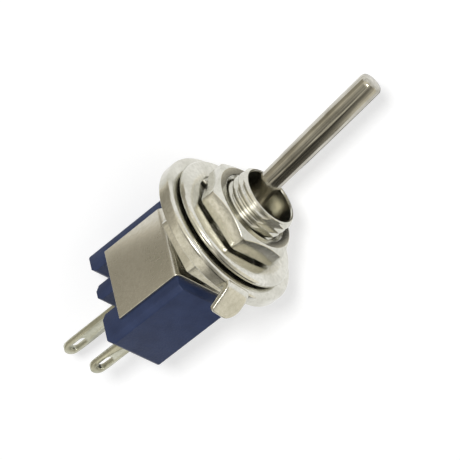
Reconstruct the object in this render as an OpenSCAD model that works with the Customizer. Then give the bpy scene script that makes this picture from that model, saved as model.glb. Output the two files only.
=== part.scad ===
// Sub-miniature panel toggle switch, on-off, with two solder lugs.
// Millimetres. +Z runs up the bushing, +X is the long way of the case.
// The origin is on the bushing's axis, in the plane where the back of the
// panel seats: the upper face of the lower nut.

/* [Case] */
// Length of the case along X
case_l = 8.4; // [8:0.1:9]
// Width of the case along Y
case_w = 5.2; // [5.1:0.1:6]
// Height of the case, from the lug side up to the bracket
case_h = 7.3; // [7.1:0.1:8.5]
// Bevel down the case's four upright edges and round its lug side
case_bevel = 0.35; // [0.1:0.05:0.5]
// Height of the cavity's floor above the lug side
floor_h = 2.5; // [2.4:0.05:2.7]
// Wall at each end of the cavity
end_wall = 1.35; // [1.2:0.05:1.45]
// Wall at each side of the cavity's upper part
side_wall = 0.85; // [0.75:0.05:0.95]
// Width of the cavity's lower channel, which guides the rocker
channel_w = 2.2; // [2.1:0.05:2.6]
// Height of that channel above the floor
channel_h = 1.9; // [1.5:0.1:2.1]
// Width of each notch between the lug barriers
notch_w = 1.35; // [1:0.05:1.6]
// Depth of each notch
notch_d = 1.8; // [1:0.1:2]
// Distance between the two notches
notch_pitch = 2.66; // [2.4:0.02:2.9]

/* [Bracket] */
// Thickness of the bracket's sheet
bracket_t = 0.25; // [0.2:0.05:0.4]
// Width of the bracket along X
bracket_w = 6.2; // [6:0.1:6.8]
// Height of the case left bare below the bracket's legs
leg_clear = 1.7; // [1:0.1:2.5]
// Outer radius of the bracket's two bends
bracket_bend_r = 0.5; // [0.45:0.05:0.6]

/* [Bushing] */
// Outer diameter of the bushing's thread
thread_d = 5; // [4.8:0.05:5.3]
// Length of the bushing above the bracket
bushing_l = 7.3; // [7:0.1:9]
// Diameter of the bushing's bore at its mouth
mouth_d = 4.2; // [4.1:0.05:4.3]
// Depth of the flat down one side of the thread
flat_d = 0.25; // [0.15:0.05:0.35]
// Bevel at the end of the thread
thread_bevel = 0.2; // [0.1:0.05:0.3]
// Length of the bushing's flange, which sits in the case
flange_l = 6; // [5.9:0.1:6.2]
// Width of the flange
flange_w = 4.4; // [4.2:0.05:4.5]
// Thickness of the flange
flange_t = 0.7; // [0.5:0.05:0.8]
// Height of the narrowest place of the bore above the lever's pivot
throat_h = 1.6; // [1.4:0.1:2]
// Diameter of that narrowest place
throat_d = 2.7; // [2.6:0.05:2.8]
// Height above the pivot where the bore reaches its full width
cone_h = 4.6; // [4:0.1:5]

/* [Nuts and washers] */
// Width across the flats of both nuts
nut_af = 7; // [7:0.1:8]
// Thickness of the lower nut
lower_nut_t = 1.8; // [1.5:0.1:2.6]
// Thickness of the upper nut
upper_nut_t = 1.5; // [1.4:0.1:1.8]
// Height of the lower nut above the bracket
nut_standoff = 0.5; // [0.1:0.05:0.8]
// Turn of the lower nut about the bushing, in degrees
lower_nut_turn = -37; // [-60:1:0]
// Turn of the upper nut about the bushing, in degrees
upper_nut_turn = -28; // [-60:1:0]
// Outer diameter of the locating ring
ring_d = 12; // [11.6:0.1:13]
// Thickness of the locating ring
ring_t = 1.05; // [0.9:0.05:1.2]
// Rounding of the ring's upper edge
ring_round = 0.3; // [0.1:0.05:0.4]
// Turn of the locating ring about the bushing, in degrees
ring_turn = -8; // [-10:0.5:10]
// Width of the locating ring's tab
tab_w = 2.1; // [1.6:0.05:2.4]
// Thickness of the tab, which leaves the ring level with its upper face
tab_t = 0.55; // [0.4:0.05:0.6]
// Length of the tab's straight end below its bend
tab_l = 1.75; // [1:0.05:2]
// Angle of the tab below the ring, in degrees
tab_angle = 61; // [45:1:90]
// Outer diameter of the lock washer
washer_d = 10.5; // [10:0.1:11]
// Inner diameter of the lock washer's rim
washer_rim_d = 8; // [7.8:0.1:8.6]
// Thickness of the lock washer's sheet
washer_t = 0.6; // [0.4:0.05:0.7]
// Height of the lock washer over its twisted teeth
washer_h = 0.95; // [0.8:0.05:1.1]
// Number of teeth inside the lock washer
washer_teeth = 10; // [8:1:12]

/* [Lever] */
// Lean of the lever to either side, in degrees
lever_lean = 8; // [7:0.5:8.5]
// Length of the lever from its pivot to its tip
lever_l = 18.3; // [16:0.1:22]
// Diameter of the lever where it leaves the collar
lever_root_d = 1.62; // [1.4:0.02:1.8]
// Diameter of the lever at its tip
lever_tip_d = 1.76; // [1.5:0.02:2]
// Length of the straight end that takes a push-on cap
cap_seat_l = 5; // [3:0.5:6]
// Rounding round the lever's tip
lever_round = 0.35; // [0.2:0.05:0.5]
// Diameter of the collar that closes the bushing's mouth
collar_d = 2.4; // [2.1:0.05:2.5]
// Height of the collar's widest place above the pivot
collar_h = 5.5; // [5.2:0.1:5.7]
// Length of the collar's taper up to the lever
collar_taper = 1.2; // [0.8:0.1:1.6]
// Diameter of the shank between the ball and the collar
shank_d = 2; // [1.8:0.05:2.1]
// Diameter of the lever's ball
ball_d = 3.4; // [3.3:0.05:3.5]
// Diameter of the lever's tail below the ball
tail_d = 2.2; // [2.1:0.05:2.4]
// Length of the tail below the pivot
tail_l = 2.3; // [2:0.05:2.4]
// Diameter of the bore in the tail, for the spring and the plunger
tail_bore_d = 1.5; // [1.4:0.05:1.6]
// Height of the top of that bore above the pivot
tail_bore_h = 0.5; // [0.3:0.1:0.7]

/* [Plunger and rocker] */
// Diameter of the plunger's head
plunger_d = 1.9; // [1.7:0.05:1.95]
// Travel of the plunger into the tail
plunger_travel = 0.35; // [0.2:0.05:0.4]
// Length of the plunger's stem inside the tail at rest
stem_l = 0.8; // [0.6:0.05:1]
// Diameter of the plunger's round nose
nose_d = 0.9; // [0.7:0.05:1]
// Diameter of the spring's wire
wire_d = 0.18; // [0.14:0.02:0.22]
// Number of turns in the spring
spring_turns = 6; // [5:1:7]
// Tilt of the rocker to either side, in degrees
rocker_tilt = 5; // [4:0.25:5.5]
// Gap between each end of the rocker and the cavity's wall
rocker_end_gap = 0.25; // [0.2:0.05:0.35]
// Width of the rocker
rocker_w = 1.8; // [1.6:0.05:1.9]
// Thickness of the rocker
rocker_t = 0.3; // [0.25:0.01:0.35]
// Distance of the contacts from the rocker's end
contact_inset = 0.5; // [0.48:0.01:0.6]
// Diameter of the rocker's contact and of the fixed one
contact_d = 1; // [0.8:0.05:1]
// Thickness of the rocker's contact
contact_t = 0.25; // [0.2:0.01:0.27]

/* [Lugs] */
// Thickness of the lugs' sheet
lug_t = 0.45; // [0.35:0.05:0.5]
// Width of each lug
lug_w = 1.2; // [1:0.05:1.4]
// Length of the common lug below the case
common_lug_l = 5.9; // [4:0.1:6.5]
// Length of the end lug below the case
end_lug_l = 3.9; // [3.4:0.05:6.5]
// Place of the common lug along X
common_lug_x = -0.38; // [-0.45:0.01:0]
// Distance of the end lug from the case's end
end_lug_inset = 1.46; // [1.4:0.01:1.5]
// Width of the eye in each lug
eye_w = 0.62; // [0.5:0.02:0.7]
// Length of that eye
eye_l = 1.4; // [1:0.05:1.6]
// Distance of the eye from the lug's tip
eye_tip = 0.62; // [0.5:0.02:0.8]
// Thickness of the lugs' feet on the cavity's floor
foot_t = 0.3; // [0.25:0.01:0.35]
// Length of the common lug's foot along X
common_foot_l = 2; // [1.8:0.1:2.4]
// Width of both feet
foot_w = 1.6; // [1.4:0.05:1.8]
// Height of the fulcrum's axis above the floor
fulcrum_h = 0.95; // [0.9:0.01:1]
// Thickness of the fulcrum's blade, which is round on top
fulcrum_t = 0.34; // [0.3:0.01:0.36]

/* [Clearances] */
// Gap round the thread in the nuts
nut_gap = 0.02; // [0.01:0.01:0.04]
// Gap round the thread in the locating ring, the washer and the bracket
ring_gap = 0.1; // [0.08:0.01:0.15]
// Gap between the lever's ball and its seat
ball_gap = 0.05; // [0.03:0.01:0.08]
// Gap round the plunger's stem in the tail
stem_gap = 0.03; // [0.02:0.01:0.04]
// Gap between the rocker and its fulcrum
fulcrum_gap = 0.03; // [0.02:0.01:0.05]
// Gap between the rocker and the contact or the stop it rests on
rest_gap = 0.02; // [0.01:0.01:0.03]
// Gap between the plunger's nose and the level rocker
nose_gap = 0.05; // [0.03:0.01:0.08]
// Gap round the flange and the lugs in the case
seat_gap = 0.02; // [0.01:0.01:0.03]

/* [Hidden] */
$fn = 96;
// Overrun of a cut past the face it leaves by
cut = 0.5;

// Height of the lever's pivot above the case
pivot_rise = 0.05;

// Levels, from the panel's back face down to the lug side
bracket_top = -lower_nut_t - nut_standoff;
case_top = bracket_top - bracket_t;
case_foot = case_top - case_h;
floor_z = case_foot + floor_h;
pivot_z = case_top + pivot_rise;
// Levels above the panel's back face
washer_z = ring_t;
upper_nut_z = washer_z + washer_h;
mouth_z = bracket_top + bushing_l;
mouth_h = mouth_z - pivot_z;

thread_r = thread_d / 2;
ball_r = ball_d / 2;
seat_r = ball_r + ball_gap;
cavity_l = case_l - 2 * end_wall;
end_lug_x = case_l / 2 - end_lug_inset;
rocker_l = cavity_l - 2 * rocker_end_gap;
contact_x = rocker_l / 2 - contact_inset;
foot_top = floor_z + foot_t;
axis_z = floor_z + fulcrum_h;
// The rocker's underside lies just over its axis, and the groove takes the fulcrum
rocker_under = 0.05;
groove_r = fulcrum_t / 2 + fulcrum_gap;
rocker_top_z = axis_z + rocker_under + rocker_t;
nose_l = pivot_z - rocker_top_z - nose_gap;
// Lowest points of the tilted rocker: the edge of its contact, and its bare end
contact_edge_drop = (contact_x + contact_d / 2) * sin(rocker_tilt)
    + (contact_t - rocker_under) * cos(rocker_tilt);
end_drop = rocker_l / 2 * sin(rocker_tilt) - rocker_under * cos(rocker_tilt);

// A hexagonal nut standing on z = 0, with its upper face bevelled
module hex_nut(thickness) {
    corner_r = nut_af / 2 / cos(30);
    bevel_r = nut_af / 2 * 0.97;
    bevel_h = (corner_r - bevel_r) * tan(30);
    bore_r = thread_r + nut_gap;
    mouth = 0.3;
    difference() {
        intersection() {
            cylinder(r = corner_r, h = thickness, $fn = 6);
            rotate_extrude()
                polygon([[0, 0], [corner_r + 0.01, 0], [corner_r + 0.01, thickness - bevel_h],
                         [bevel_r, thickness], [0, thickness]]);
        }
        translate([0, 0, -cut]) cylinder(r = bore_r, h = thickness + 2 * cut);
        for (face = [0, 1])
            translate([0, 0, face * thickness]) mirror([0, 0, face])
                cylinder(r1 = bore_r + mouth, r2 = bore_r, h = mouth);
    }
}

// A round section with one side cut off square to X
module flatted_circle(r, flat_x) {
    intersection() {
        circle(r = r);
        translate([-r, -r]) square([r + flat_x, 2 * r]);
    }
}

module bevelled_block(l, w, h, bevel) {
    linear_extrude(height = h)
        polygon([[-l / 2 + bevel, -w / 2], [l / 2 - bevel, -w / 2], [l / 2, -w / 2 + bevel],
                 [l / 2, w / 2 - bevel], [l / 2 - bevel, w / 2], [-l / 2 + bevel, w / 2],
                 [-l / 2, w / 2 - bevel], [-l / 2, -w / 2 + bevel]]);
}

// One upright slot through the floor for a lug, up to the top of its foot
module lug_slot(x) {
    translate([x - lug_t / 2 - seat_gap, -lug_w / 2 - seat_gap, case_foot - cut])
        cube([lug_t + 2 * seat_gap, lug_w + 2 * seat_gap, floor_h + foot_t + cut]);
}

// The bevels across the lug side, cut along Y at each barrier's two edges
module barrier_bevel(x, side) {
    translate([x, 0, case_foot])
        rotate([90, 0, 0])
            linear_extrude(height = case_w + 2 * cut, center = true)
                polygon([[-side * cut, -cut], [side * case_bevel, -cut], [side * case_bevel, 0],
                         [0, case_bevel], [-side * cut, case_bevel]]);
}

module case() {
    notch_x = [common_lug_x - notch_pitch / 2, common_lug_x + notch_pitch / 2];
    stop_l = 0.7;
    stop_top = axis_z - end_drop - rest_gap;
    color([0.15, 0.19, 0.33]) {
        difference() {
            translate([0, 0, case_foot]) bevelled_block(case_l, case_w, case_h, case_bevel);
            translate([-cavity_l / 2, -case_w / 2 + side_wall, floor_z + channel_h])
                cube([cavity_l, case_w - 2 * side_wall, case_h]);
            translate([-cavity_l / 2, -channel_w / 2, floor_z])
                cube([cavity_l, channel_w, case_h]);
            translate([-flange_l / 2 - seat_gap, -flange_w / 2 - seat_gap, case_top - flange_t])
                cube([flange_l + 2 * seat_gap, flange_w + 2 * seat_gap, case_h]);
            for (x = notch_x)
                translate([x - notch_w / 2, -case_w / 2 - cut, case_foot - cut])
                    cube([notch_w, case_w + 2 * cut, notch_d + cut]);
            for (x = [-case_l / 2, notch_x[0] + notch_w / 2, notch_x[1] + notch_w / 2])
                barrier_bevel(x, 1);
            for (x = [notch_x[0] - notch_w / 2, notch_x[1] - notch_w / 2, case_l / 2])
                barrier_bevel(x, -1);
            lug_slot(common_lug_x);
            lug_slot(end_lug_x);
        }
        translate([-cavity_l / 2 - seat_gap, -channel_w / 2 - seat_gap, floor_z - seat_gap])
            cube([stop_l, channel_w + 2 * seat_gap, stop_top - floor_z + seat_gap]);
    }
}

// One sheet folded over the case: a top, and a leg down each long side
module bracket() {
    half_w = case_w / 2 + bracket_t;
    leg_foot = case_foot + leg_clear;
    color([0.62, 0.6, 0.52])
        difference() {
            rotate([90, 0, 90])
                linear_extrude(height = bracket_w, center = true)
                    difference() {
                        union() {
                            translate([-half_w, leg_foot])
                                square([2 * half_w, bracket_top - bracket_bend_r - leg_foot]);
                            translate([-half_w + bracket_bend_r, leg_foot])
                                square([2 * (half_w - bracket_bend_r), bracket_top - leg_foot]);
                            for (side = [-1, 1])
                                translate([side * (half_w - bracket_bend_r), bracket_top - bracket_bend_r])
                                    circle(r = bracket_bend_r);
                        }
                        translate([-case_w / 2, leg_foot - cut]) square([case_w, case_top - leg_foot + cut]);
                    }
            translate([0, 0, case_top - cut])
                cylinder(r = thread_r + ring_gap / 2, h = bracket_t + 2 * cut);
        }
}

module bushing() {
    seat_top_h = sqrt(seat_r * seat_r - throat_d * throat_d / 4);
    color([0.72, 0.72, 0.68])
        difference() {
            union() {
                intersection() {
                    translate([0, 0, case_top])
                        rotate_extrude()
                            polygon([[0, 0], [thread_r, 0],
                                     [thread_r, mouth_z - case_top - thread_bevel],
                                     [thread_r - thread_bevel, mouth_z - case_top],
                                     [0, mouth_z - case_top]]);
                    union() {
                        translate([0, 0, bracket_top])
                            linear_extrude(height = bushing_l)
                                flatted_circle(thread_r + 0.01, thread_r - flat_d);
                        translate([0, 0, case_top]) cylinder(r = thread_r + 0.01, h = bracket_t);
                    }
                }
                translate([-flange_l / 2, -flange_w / 2, case_top - flange_t])
                    cube([flange_l, flange_w, flange_t]);
            }
            // The round pocket under the pivot, and the ball's seat above it
            translate([0, 0, case_top - flange_t - cut])
                cylinder(r = seat_r, h = pivot_z - case_top + flange_t + cut);
            translate([0, 0, pivot_z])
                intersection() {
                    sphere(r = seat_r);
                    translate([0, 0, -cut]) cylinder(r = seat_r + cut, h = cut + seat_top_h);
                }
            // The throat, the cone and the mouth, which let the lever lean
            translate([0, 0, pivot_z])
                rotate_extrude()
                    polygon([[0, seat_top_h - 0.2], [throat_d / 2, seat_top_h - 0.2],
                             [throat_d / 2, throat_h], [mouth_d / 2, cone_h],
                             [mouth_d / 2, mouth_h - 0.1], [mouth_d / 2 + 0.1, mouth_h],
                             [mouth_d / 2 + 0.1, mouth_h + cut], [0, mouth_h + cut]]);
        }
}

module lower_nut() {
    color([0.74, 0.74, 0.7])
        translate([0, 0, -lower_nut_t]) rotate([0, 0, lower_nut_turn]) hex_nut(lower_nut_t);
}

module upper_nut() {
    color([0.74, 0.74, 0.7])
        translate([0, 0, upper_nut_z]) rotate([0, 0, upper_nut_turn]) hex_nut(upper_nut_t);
}

// A flat ring whose bore has the bushing's flat, with one tab bent down
module locating_ring() {
    bore_r = thread_r + ring_gap;
    // The flat in the bore, as far out as the ring's turn against the thread needs
    flat_x = min(bore_r, thread_r * cos(acos(1 - flat_d / thread_r) - abs(ring_turn)) + ring_gap / 4);
    steps = 8;
    rim = [for (i = [0 : steps])
        [ring_d / 2 - ring_round + ring_round * cos(i * 90 / steps),
         ring_t - ring_round + ring_round * sin(i * 90 / steps)]];
    // The tab's section: along the ring, round the bend and down its slope
    bend_r = 0.25;
    outer_r = bend_r + tab_t;
    bend = [ring_d / 2 - 0.15, ring_t - outer_r];
    root_x = bend[0] - 0.8;
    arc = [for (i = [0 : steps]) i * tab_angle / steps];
    out = [sin(tab_angle), cos(tab_angle)];
    along = tab_l * [cos(tab_angle), -sin(tab_angle)];
    section = concat([[root_x, bend[1] + bend_r], [root_x, ring_t]],
                     [for (a = arc) bend + outer_r * [sin(a), cos(a)]],
                     [bend + outer_r * out + along, bend + bend_r * out + along],
                     [for (i = [steps : -1 : 1]) bend + bend_r * [sin(arc[i]), cos(arc[i])]]);
    color([0.74, 0.74, 0.7])
        rotate([0, 0, ring_turn]) {
            difference() {
                rotate_extrude() polygon(concat([[0, 0], [ring_d / 2, 0]], rim, [[0, ring_t]]));
                translate([0, 0, -cut])
                    linear_extrude(height = ring_t + 2 * cut) flatted_circle(bore_r, flat_x);
            }
            rotate([90, 0, 0]) linear_extrude(height = tab_w, center = true) polygon(section);
        }
}

// A ring of sheet with teeth inside it, each turned about its own length
module lock_washer() {
    rim_r = washer_rim_d / 2;
    bore_r = thread_r + ring_gap;
    pitch = 360 / washer_teeth;
    tooth_l = rim_r - bore_r;
    tooth_share = 0.8;
    tooth_w = tooth_share * bore_r * PI * 2 / washer_teeth;
    // The twist that brings a tooth's edges to the washer's full height
    twist = asin(min(1, (washer_h - washer_t * 0.8) / tooth_w / 1.35));
    edge = washer_t / 2;
    color([0.76, 0.76, 0.73])
        translate([0, 0, washer_z + washer_h / 2]) {
            rotate_extrude()
                union() {
                    translate([rim_r, -washer_t / 2]) square([washer_d / 2 - edge - rim_r, washer_t]);
                    translate([washer_d / 2 - edge, 0]) circle(r = edge, $fn = 32);
                }
            intersection() {
                translate([0, 0, -washer_h / 2])
                    difference() {
                        cylinder(r = rim_r + 0.3, h = washer_h);
                        translate([0, 0, -cut]) cylinder(r = bore_r, h = washer_h + 2 * cut);
                    }
                union()
                    for (i = [0 : washer_teeth - 1])
                        rotate([0, 0, (i + 0.5) * pitch])
                            translate([bore_r - cut, 0, 0]) rotate([twist, 0, 0])
                                translate([0, -tooth_w / 2, -washer_t * 0.4])
                                    cube([tooth_l + cut + 0.2, tooth_w, washer_t * 0.8]);
            }
        }
}

// Puts a lever piece, drawn upright about the pivot, at its lean
module at_pivot() {
    translate([0, 0, pivot_z]) rotate([0, -lever_lean, 0]) children();
}

// The lever is turned from one rod: tip, collar, shank, ball and hollow tail
module lever() {
    root_h = collar_h + collar_taper;
    tip_r = lever_tip_d / 2;
    collar_under = 0.3;
    steps = 8;
    shank_join = sqrt(ball_r * ball_r - shank_d * shank_d / 4) - 0.1;
    color([0.72, 0.71, 0.66])
        at_pivot()
            difference() {
                union() {
                    sphere(r = ball_r);
                    translate([0, 0, -tail_l]) cylinder(r = tail_d / 2, h = tail_l);
                    rotate_extrude()
                        polygon(concat(
                            [[0, 0], [shank_d / 2, shank_join], [shank_d / 2, collar_h - collar_under],
                             [collar_d / 2, collar_h], [lever_root_d / 2, root_h],
                             [tip_r, lever_l - cap_seat_l]],
                            [for (i = [0 : steps])
                                [tip_r - lever_round + lever_round * cos(i * 90 / steps),
                                 lever_l - lever_round + lever_round * sin(i * 90 / steps)]],
                            [[0, lever_l]]));
                }
                translate([0, 0, -tail_l - cut])
                    cylinder(r = tail_bore_d / 2, h = tail_l + tail_bore_h + cut);
            }
}

// A coil between the top of the tail's bore and the plunger's stem
module plunger_spring() {
    sides = 8;
    per_turn = 14;
    end_gap = 0.02;
    coil_r = tail_bore_d / 2 - 0.08 - wire_d / 2;
    low = -tail_l + stem_l + wire_d / 2 + end_gap;
    high = tail_bore_h - wire_d / 2 - end_gap;
    last = spring_turns * per_turn;
    rings = [for (i = [0 : last])
        let (a = i * 360 / per_turn, z = low + (high - low) * i / last)
            [for (j = [0 : sides - 1])
                let (b = j * 360 / sides, r = coil_r + wire_d / 2 * cos(b))
                    [r * cos(a), r * sin(a), z + wire_d / 2 * sin(b)]]];
    points = [for (ring = rings) each ring];
    skin = [for (i = [0 : last - 1], j = [0 : sides - 1])
        let (a = i * sides + j, b = i * sides + (j + 1) % sides)
            [a, b, b + sides, a + sides]];
    caps = [[for (j = [sides - 1 : -1 : 0]) j], [for (j = [0 : sides - 1]) last * sides + j]];
    color([0.7, 0.7, 0.72])
        at_pivot() polyhedron(points = points, faces = concat(caps, skin));
}

module plunger() {
    stem_r = tail_bore_d / 2 - stem_gap;
    head_top = -tail_l - plunger_travel - rest_gap;
    nose_r = nose_d / 2;
    nose_h = -nose_l + nose_r;
    shoulder = 0.3;
    color([0.85, 0.83, 0.76])
        at_pivot() {
            translate([0, 0, head_top - 0.1])
                cylinder(r = stem_r, h = -tail_l + stem_l - head_top + 0.1);
            translate([0, 0, nose_h])
                rotate_extrude()
                    polygon([[0, -0.05], [nose_r * 0.95, -0.05], [plunger_d / 2, head_top - shoulder - nose_h],
                             [plunger_d / 2, head_top - nose_h], [0, head_top - nose_h]]);
            translate([0, 0, nose_h]) sphere(r = nose_r);
        }
}

// Puts a rocker piece, drawn level about its axis, at its tilt
module at_fulcrum() {
    translate([0, 0, axis_z]) rotate([0, rocker_tilt, 0]) children();
}

module rocker() {
    color([0.78, 0.66, 0.42])
        at_fulcrum()
            difference() {
                translate([-rocker_l / 2, -rocker_w / 2, rocker_under])
                    cube([rocker_l, rocker_w, rocker_t]);
                rotate([90, 0, 0]) cylinder(r = groove_r, h = rocker_w + 2 * cut, center = true);
            }
}

module rocker_contact() {
    color([0.86, 0.86, 0.84])
        at_fulcrum()
            translate([contact_x, 0, rocker_under - contact_t]) cylinder(r = contact_d / 2, h = contact_t);
}

// The fixed contact is a rivet, headed over the end lug's foot
module end_contact() {
    head_top = axis_z - contact_edge_drop - rest_gap;
    color([0.86, 0.86, 0.84]) {
        translate([contact_x, 0, foot_top]) cylinder(r = contact_d / 2, h = head_top - foot_top);
        translate([contact_x, 0, floor_z]) cylinder(r = contact_d / 4, h = foot_t);
    }
}

// The part of a lug below the cavity's floor: a blade with a round tip and an eye
module lug_blade(x, lug_l) {
    tip_z = case_foot - lug_l;
    slot_r = eye_w / 2;
    translate([x, 0, 0])
        rotate([90, 0, 90])
            linear_extrude(height = lug_t, center = true)
                difference() {
                    union() {
                        translate([-lug_w / 2, tip_z + lug_w / 2])
                            square([lug_w, foot_top - tip_z - lug_w / 2]);
                        translate([0, tip_z + lug_w / 2]) circle(r = lug_w / 2);
                    }
                    translate([-slot_r, tip_z + eye_tip + slot_r]) square([eye_w, eye_l - eye_w]);
                    for (end = [slot_r, eye_l - slot_r])
                        translate([0, tip_z + eye_tip + end]) circle(r = slot_r);
                }
}

module common_lug() {
    color([0.82, 0.82, 0.74]) {
        lug_blade(common_lug_x, common_lug_l);
        translate([-common_foot_l / 2, -foot_w / 2, floor_z]) cube([common_foot_l, foot_w, foot_t]);
        translate([-fulcrum_t / 2, -foot_w / 2, floor_z]) cube([fulcrum_t, foot_w, fulcrum_h]);
        translate([0, 0, axis_z]) rotate([90, 0, 0]) cylinder(r = fulcrum_t / 2, h = foot_w, center = true);
    }
}

module end_lug() {
    foot_x = contact_x - contact_d / 2 - 0.1;
    foot_end = min(cavity_l / 2 - seat_gap, end_lug_x + lug_t / 2);
    color([0.82, 0.82, 0.74])
        difference() {
            union() {
                lug_blade(end_lug_x, end_lug_l);
                translate([foot_x, -foot_w / 2, floor_z]) cube([foot_end - foot_x, foot_w, foot_t]);
            }
            translate([contact_x, 0, floor_z - cut]) cylinder(r = contact_d / 4, h = foot_t + 2 * cut);
        }
}

case();
bracket();
bushing();
lower_nut();
locating_ring();
lock_washer();
upper_nut();
lever();
plunger_spring();
plunger();
rocker();
rocker_contact();
end_contact();
common_lug();
end_lug();
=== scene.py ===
# %% [markdown]
# A sub-miniature panel toggle switch, dressed piece by piece.
# The real one is a small moulded case closed by a folded steel bracket, with a threaded bushing that
# holds a bat lever, and two nuts, a toothed washer and a locating ring that clamp it to a panel.
# The solid model comes in first as a fixed frame: its nodes stay where they are, and every new
# surface is placed from their boxes. Nothing here moves or resizes a part.

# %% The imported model
import math
import bmesh
import bpy
import numpy as np
from mathutils import Matrix, Vector


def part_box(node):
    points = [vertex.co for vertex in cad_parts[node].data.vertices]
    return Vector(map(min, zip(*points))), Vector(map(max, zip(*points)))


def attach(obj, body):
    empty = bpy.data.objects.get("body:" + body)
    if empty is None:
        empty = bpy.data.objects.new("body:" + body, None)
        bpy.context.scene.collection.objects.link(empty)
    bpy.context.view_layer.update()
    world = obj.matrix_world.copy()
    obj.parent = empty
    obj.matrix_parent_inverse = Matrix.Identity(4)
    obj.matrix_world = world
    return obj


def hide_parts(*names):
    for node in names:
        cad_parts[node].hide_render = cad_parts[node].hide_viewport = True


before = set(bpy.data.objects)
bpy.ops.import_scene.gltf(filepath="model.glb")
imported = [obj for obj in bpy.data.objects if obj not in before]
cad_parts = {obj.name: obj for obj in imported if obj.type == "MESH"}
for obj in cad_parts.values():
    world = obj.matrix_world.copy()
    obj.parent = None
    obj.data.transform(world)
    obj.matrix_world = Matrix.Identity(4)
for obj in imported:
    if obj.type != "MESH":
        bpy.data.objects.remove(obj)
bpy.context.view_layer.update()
print("nodes:", ", ".join(sorted(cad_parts)))

# %% [markdown]
# The sizes below are read from the frame's boxes in millimetres, so each new surface lands on the
# solid that it stands for. Only fine details that no box gives, such as the thread's pitch, are given.

# %% Levels and radii read from the frame
MM = 0.001


def box_mm(node):
    """Lowest and highest corner of a node, in millimetres."""
    low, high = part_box(node)
    return np.array(low) / MM, np.array(high) / MM


case_low, case_high = box_mm("case")
bush_low, bush_high = box_mm("bushing")
ring_low, ring_high = box_mm("locating_ring")
rim_low, rim_high = box_mm("lock_washer")
sheet_high = box_mm("bracket")[1]
nut_levels = {n: (box_mm(n)[0][2], box_mm(n)[1][2]) for n in ("lower_nut", "upper_nut")}
case_top, mouth_z = case_high[2], bush_high[2]
pivot_rise = 0.05
pivot_z = case_top + pivot_rise
ring_r, rim_r = -ring_low[0], rim_high[0]
ring_t = ring_high[2]
print(f"case {case_high - case_low}, mouth at {mouth_z:.2f}, ring radius {ring_r:.2f} mm")

# %% [markdown]
# Almost every metal piece here is turned or stamped, so it is one section carried round an axis. Such a
# piece could be drawn with a Screw modifier, but a thread, a hexagon's cone or a twisted tooth would then
# need other tools on top. A grid of points worked out by a formula does all of them in the same way.
# `soften` rounds the corners of a section, because real parts never have razor edges and it is the small
# rounds that catch the light. `skin` turns grids into one mesh, closes its seams, and points its faces
# outwards. `turned` carries a section round the axis, and `rides` puts a piece on its body.

# %% Profiles and skins


def soften(corners, cut, steps=5, closed=True):
    """Rounds a polyline's corners: near corner C the line leaves at A and returns at B, both `cut` away,
    and follows the curve (1-t)^2 A + 2t(1-t) C + t^2 B. Works on (..., n, dim) arrays at once."""
    corners = np.asarray(corners, float)
    before, after = np.roll(corners, 1, -2), np.roll(corners, -1, -2)
    cut = np.broadcast_to(np.asarray(cut, float), corners.shape[:-1])[..., None]

    def towards(end):
        way = end - corners
        length = np.linalg.norm(way, axis=-1, keepdims=True)
        return corners + way * np.minimum(cut / np.maximum(length, 1e-9), 0.45)

    t = np.linspace(0, 1, steps)[:, None]
    a, b = towards(before)[..., None, :], towards(after)[..., None, :]
    curve = (1 - t) ** 2 * a + 2 * t * (1 - t) * corners[..., None, :] + t**2 * b
    if not closed:
        curve[..., 0, :, :] = corners[..., 0, None, :]
        curve[..., -1, :, :] = corners[..., -1, None, :]
    return curve.reshape(*corners.shape[:-2], -1, corners.shape[-1])


def grid_faces(nu, nv, wrap_u=True, wrap_v=True):
    """Quads of an nu by nv grid: corner (i, j) joins (i+1, j), (i+1, j+1) and (i, j+1)."""
    rows, columns = nu if wrap_u else nu - 1, nv if wrap_v else nv - 1
    i, j = np.meshgrid(np.arange(rows), np.arange(columns), indexing="ij")
    k, m = (i + 1) % nu, (j + 1) % nv
    return np.stack([i * nv + j, k * nv + j, k * nv + m, i * nv + m], -1).reshape(-1, 4)


def skin(name, patches):
    """One mesh from patches of (points in mm, faces). Doubles are merged, which closes seams and poles,
    and normals are then made to point outwards."""
    points, faces, count = [], [], 0
    for grid, quads in patches:
        flat = np.asarray(grid, float).reshape(-1, 3)
        points.append(flat)
        faces.append(quads + count)
        count += len(flat)
    mesh = bpy.data.meshes.new(name)
    mesh.from_pydata((np.vstack(points) * MM).tolist(), [], np.vstack(faces).tolist())
    work = bmesh.new()
    work.from_mesh(mesh)
    bmesh.ops.remove_doubles(work, verts=work.verts, dist=1e-7)
    bmesh.ops.dissolve_degenerate(work, edges=work.edges, dist=1e-8)
    bmesh.ops.recalc_face_normals(work, faces=work.faces)
    work.to_mesh(mesh)
    work.free()
    mesh.polygons.foreach_set("use_smooth", np.ones(len(mesh.polygons), bool))
    mesh.update()
    piece = bpy.data.objects.new(name, mesh)
    bpy.context.scene.collection.objects.link(piece)
    print(f"{name}: {len(mesh.vertices)} points, {len(mesh.polygons)} faces")
    return piece


def turned(profile, turns=160):
    """A profile of (radius, height) carried round Z: x = r cos a, y = r sin a, z = h."""
    a = np.linspace(0, 2 * np.pi, turns, endpoint=False)[:, None]
    r, h = profile[None, :, 0], profile[None, :, 1]
    grid = np.stack([r * np.cos(a), r * np.sin(a), h + 0 * a], -1)
    return grid, grid_faces(turns, len(profile))


def rides(piece, body, slot, *nodes):
    """The piece moves with a body and stands for the nodes, which are hidden. The argument slot is not used.
    """
    if nodes:
        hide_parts(*nodes)
    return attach(piece, body)


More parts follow.
